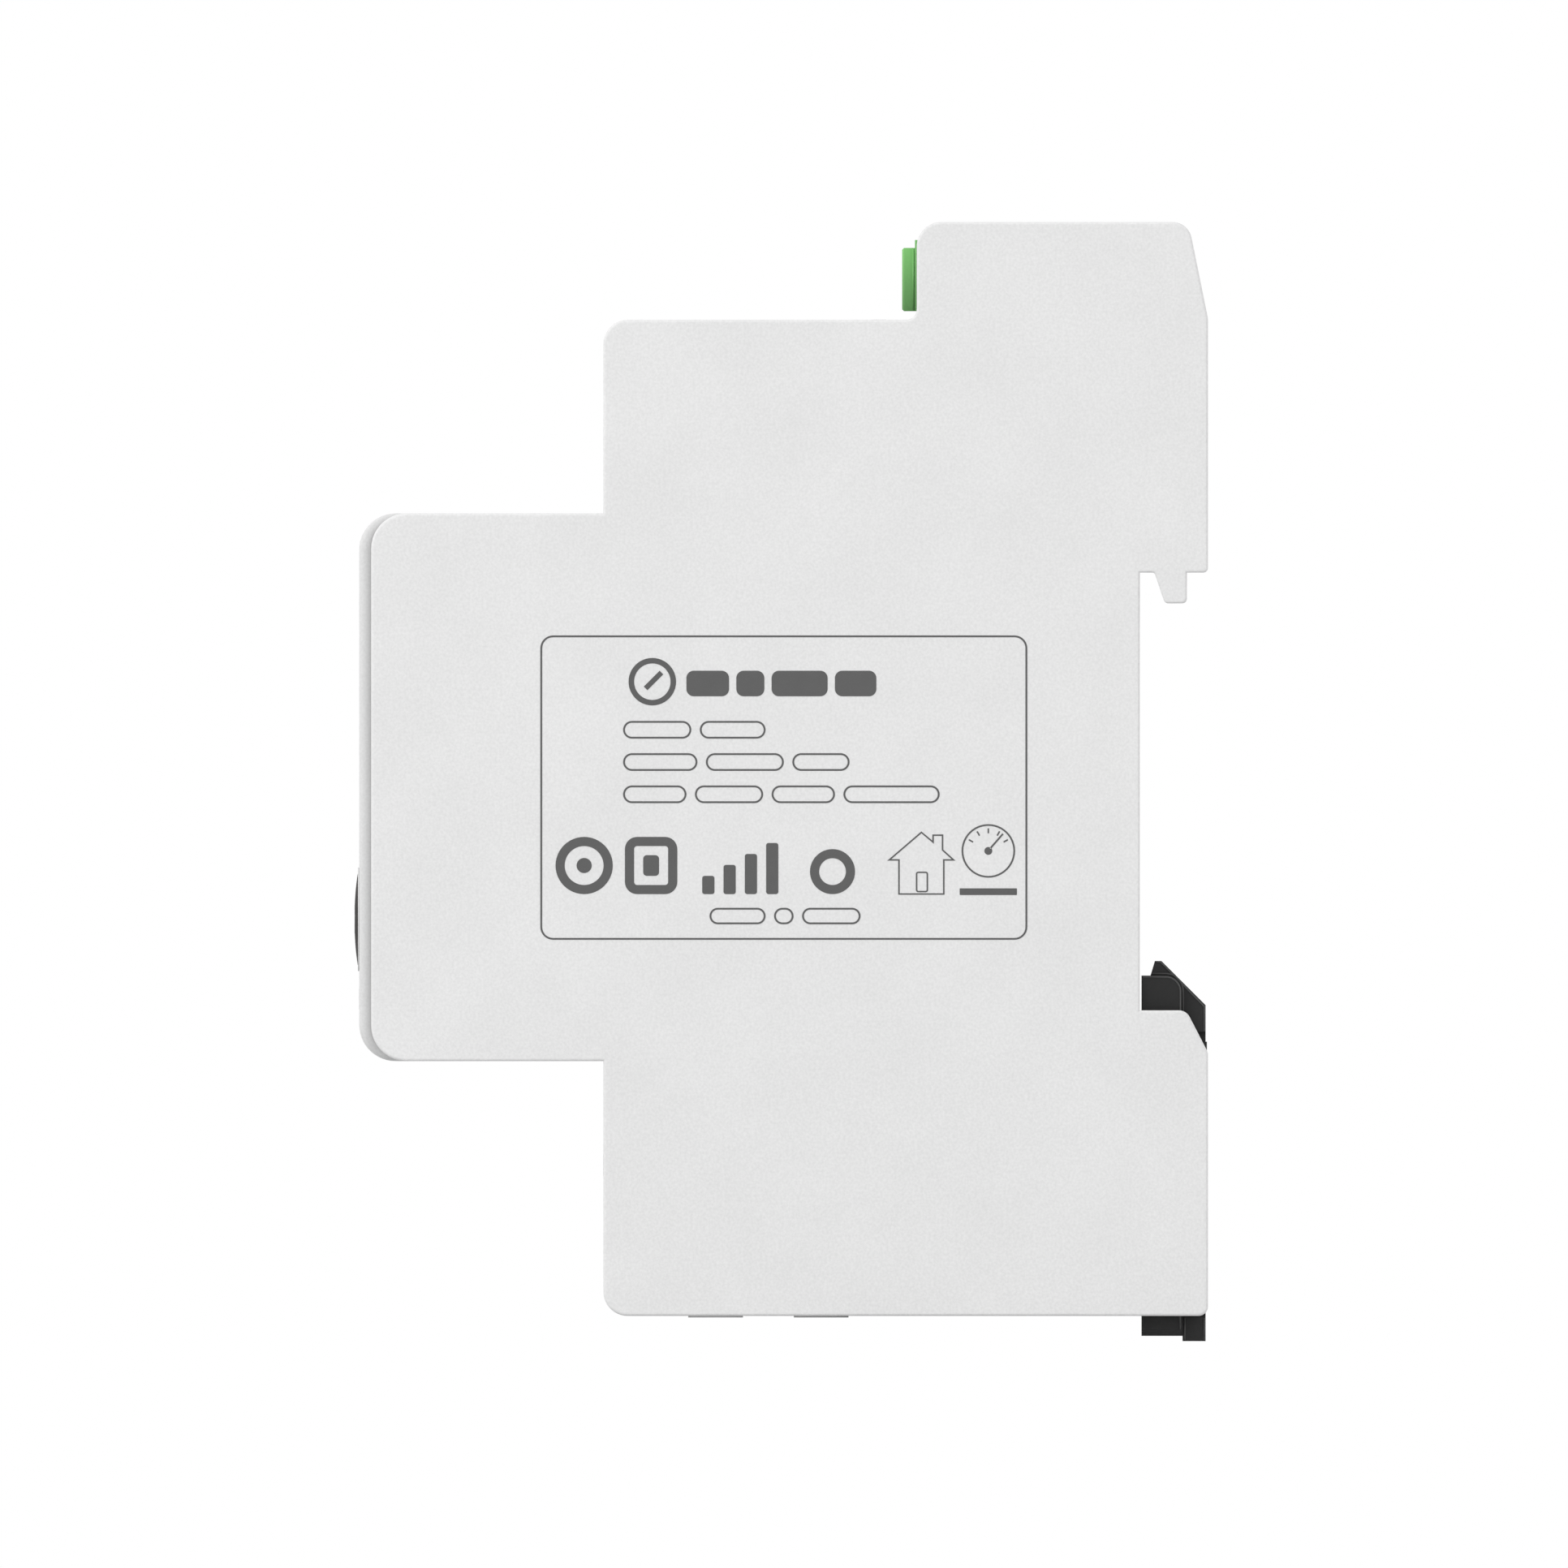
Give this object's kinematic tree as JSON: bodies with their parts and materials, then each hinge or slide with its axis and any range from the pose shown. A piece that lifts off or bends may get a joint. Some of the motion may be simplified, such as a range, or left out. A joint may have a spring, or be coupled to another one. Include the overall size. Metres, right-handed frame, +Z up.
{
  "type": "smart electric meter",
  "caption": "Slim grey meter for a top-hat rail, with a stepped housing, front display and button, screw terminals below, a green plug-in connector above and a black sprung rail clip.",
  "frame": {"origin": "on the flat seat for the rail, at the middle of the rail's height and of the housing's width", "axes": "+X to the right seen from the front, +Y from the front to the rail, +Z up"},
  "size_m": [0.036, 0.0701, 0.0919],
  "materials": {
    "housing_grey": "fine satin grain",
    "clear_window": "polished",
    "lcd_glass": "polished",
    "white_diffuser": "satin",
    "board_green": "solder mask",
    "board_black": "solder mask",
    "clear_pipe": "polished",
    "dark_gloss": "polished",
    "black_moulding": "moulded",
    "ferrite": "sintered",
    "coil_tape": "tape",
    "capacitor_yellow": "moulded",
    "capacitor_sleeve": "shrink sleeve",
    "varistor_blue": "dipped epoxy",
    "fuse_brown": "moulded",
    "tinned_steel": "tin plate",
    "socket_ivory": "moulded",
    "cable_white": "film",
    "contact_brass": "rolled",
    "connector_green": "moulded",
    "clip_black": "moulded",
    "spring_steel": "drawn wire",
    "plated_steel": "zinc plate"
  },
  "bodies": {
    "housing": {"bulk_capacitors": "capacitor_sleeve", "burden_resistors": "black_moulding", "bus_driver": "black_moulding", "cable_sockets": "socket_ivory", "clip_spring": "spring_steel", "clock_crystal": "tinned_steel", "contact_bars": "contact_brass", "display_board": "board_green", "display_window": "clear_window", "filter_capacitor": "capacitor_yellow", "flat_cable": "cable_white", "front_cover": "housing_grey", "header_pins": "tinned_steel", "lcd_backlight": "white_diffuser", "lcd_panel": "lcd_glass", "left_shell": "housing_grey", "light_pipes": "clear_pipe", "main_board": "board_green", "metering_chip": "black_moulding", "opto_couplers": "black_moulding", "plug_header": "connector_green", "radio_board": "board_black", "radio_shield": "tinned_steel", "right_shell": "housing_grey", "status_leds": "white_diffuser", "supply_fuse": "fuse_brown", "surge_varistor": "varistor_blue", "switch_body": "black_moulding", "terminal_block": "housing_grey", "transformer_base": "black_moulding", "transformer_coil": "coil_tape", "transformer_core": "ferrite"},
    "clip": {"din_clip": "clip_black"},
    "button": {"button_cap": "dark_gloss", "switch_plunger": "black_moulding"},
    "plug": {"plug_body": "connector_green", "plug_contacts": "tinned_steel"},
    "screw_1": {"terminal_screw_1": "plated_steel"},
    "cage_1": {"clamp_cage_1": "plated_steel"},
    "screw_2": {"terminal_screw_2": "plated_steel"},
    "cage_2": {"clamp_cage_2": "plated_steel"},
    "screw_3": {"terminal_screw_3": "plated_steel"},
    "cage_3": {"clamp_cage_3": "plated_steel"},
    "screw_4": {"terminal_screw_4": "plated_steel"},
    "cage_4": {"clamp_cage_4": "plated_steel"}
  },
  "joints": [
    {"name": "clip_slide", "type": "slide", "parent": "housing", "child": "clip", "axis": [0, 0, -1], "range_m": [0, 0.0045], "stiffness_N_per_m": 800, "springref_m": -0.003, "deforming": ["clip_spring"]},
    {"name": "button_press", "type": "slide", "parent": "housing", "child": "button", "axis": [0, 1, 0], "range_m": [0, 0.0003], "stiffness_N_per_m": 400},
    {"name": "plug_slide", "type": "slide", "parent": "housing", "child": "plug", "axis": [0, -1, 0], "range_m": [0, 0.012]},
    {"name": "cage_1_travel", "type": "slide", "parent": "housing", "child": "cage_1", "axis": [0, -1, 0], "range_m": [0, 0.0026]},
    {"name": "screw_1_turn", "type": "hinge", "parent": "housing", "child": "screw_1", "pos_m": [-0.012, -0.04085, -0.036], "axis": [0, 1, 0], "range_deg": [0, 1873]},
    {"name": "cage_2_travel", "type": "slide", "parent": "housing", "child": "cage_2", "axis": [0, -1, 0], "range_m": [0, 0.0026]},
    {"name": "screw_2_turn", "type": "hinge", "parent": "housing", "child": "screw_2", "pos_m": [-0.004, -0.03218, -0.036], "axis": [0, 1, 0], "range_deg": [0, 1873]},
    {"name": "cage_3_travel", "type": "slide", "parent": "housing", "child": "cage_3", "axis": [0, -1, 0], "range_m": [0, 0.0026]},
    {"name": "screw_3_turn", "type": "hinge", "parent": "housing", "child": "screw_3", "pos_m": [0.004, -0.03218, -0.036], "axis": [0, 1, 0], "range_deg": [0, 1873]},
    {"name": "cage_4_travel", "type": "slide", "parent": "housing", "child": "cage_4", "axis": [0, -1, 0], "range_m": [0, 0.0026]},
    {"name": "screw_4_turn", "type": "hinge", "parent": "housing", "child": "screw_4", "pos_m": [0.012, -0.04085, -0.036], "axis": [0, 1, 0], "range_deg": [0, 1873]}
  ],
  "couplings": [
    {"joint": "screw_1_turn", "follows": "cage_1_travel", "rad_per_m": 12566},
    {"joint": "screw_2_turn", "follows": "cage_2_travel", "rad_per_m": 12566},
    {"joint": "screw_3_turn", "follows": "cage_3_travel", "rad_per_m": 12566},
    {"joint": "screw_4_turn", "follows": "cage_4_travel", "rad_per_m": 12566}
  ]
}
